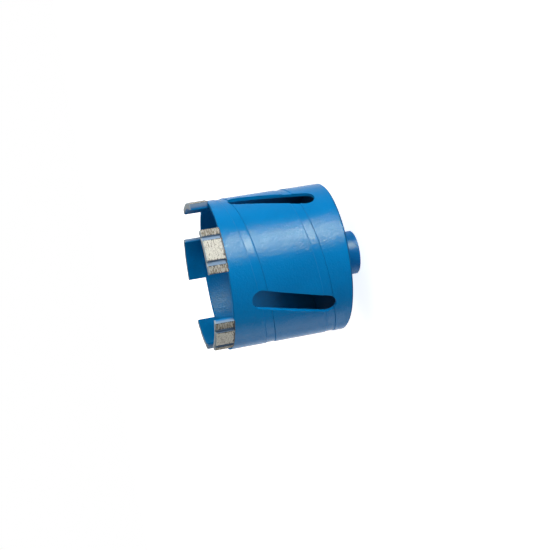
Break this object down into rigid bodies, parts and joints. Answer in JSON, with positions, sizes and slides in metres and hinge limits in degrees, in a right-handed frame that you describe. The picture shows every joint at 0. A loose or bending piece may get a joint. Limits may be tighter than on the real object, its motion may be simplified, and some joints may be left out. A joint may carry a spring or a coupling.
{
  "type": "diamond core bit",
  "caption": "Short dry core bit: a slotted steel barrel with sintered cutting segments on its rim and a threaded hub on its closed rear end.",
  "frame": {"origin": "centre of the hub's end face, which the bit stands on", "axes": "+Z along the axis from the hub to the cutting face, +X through the middle of segment_1"},
  "size_m": [0.0815, 0.082, 0.088],
  "materials": {
    "blue_paint": "satin",
    "segment_metal": "ground"
  },
  "bodies": {
    "root": {"barrel": "blue_paint", "end_plate": "blue_paint", "plate_weld": "blue_paint", "threaded_hub": "blue_paint", "hub_weld": "blue_paint", "segment_1": "segment_metal", "segment_2": "segment_metal", "segment_3": "segment_metal", "segment_4": "segment_metal", "segment_5": "segment_metal"}
  },
  "joints": []
}
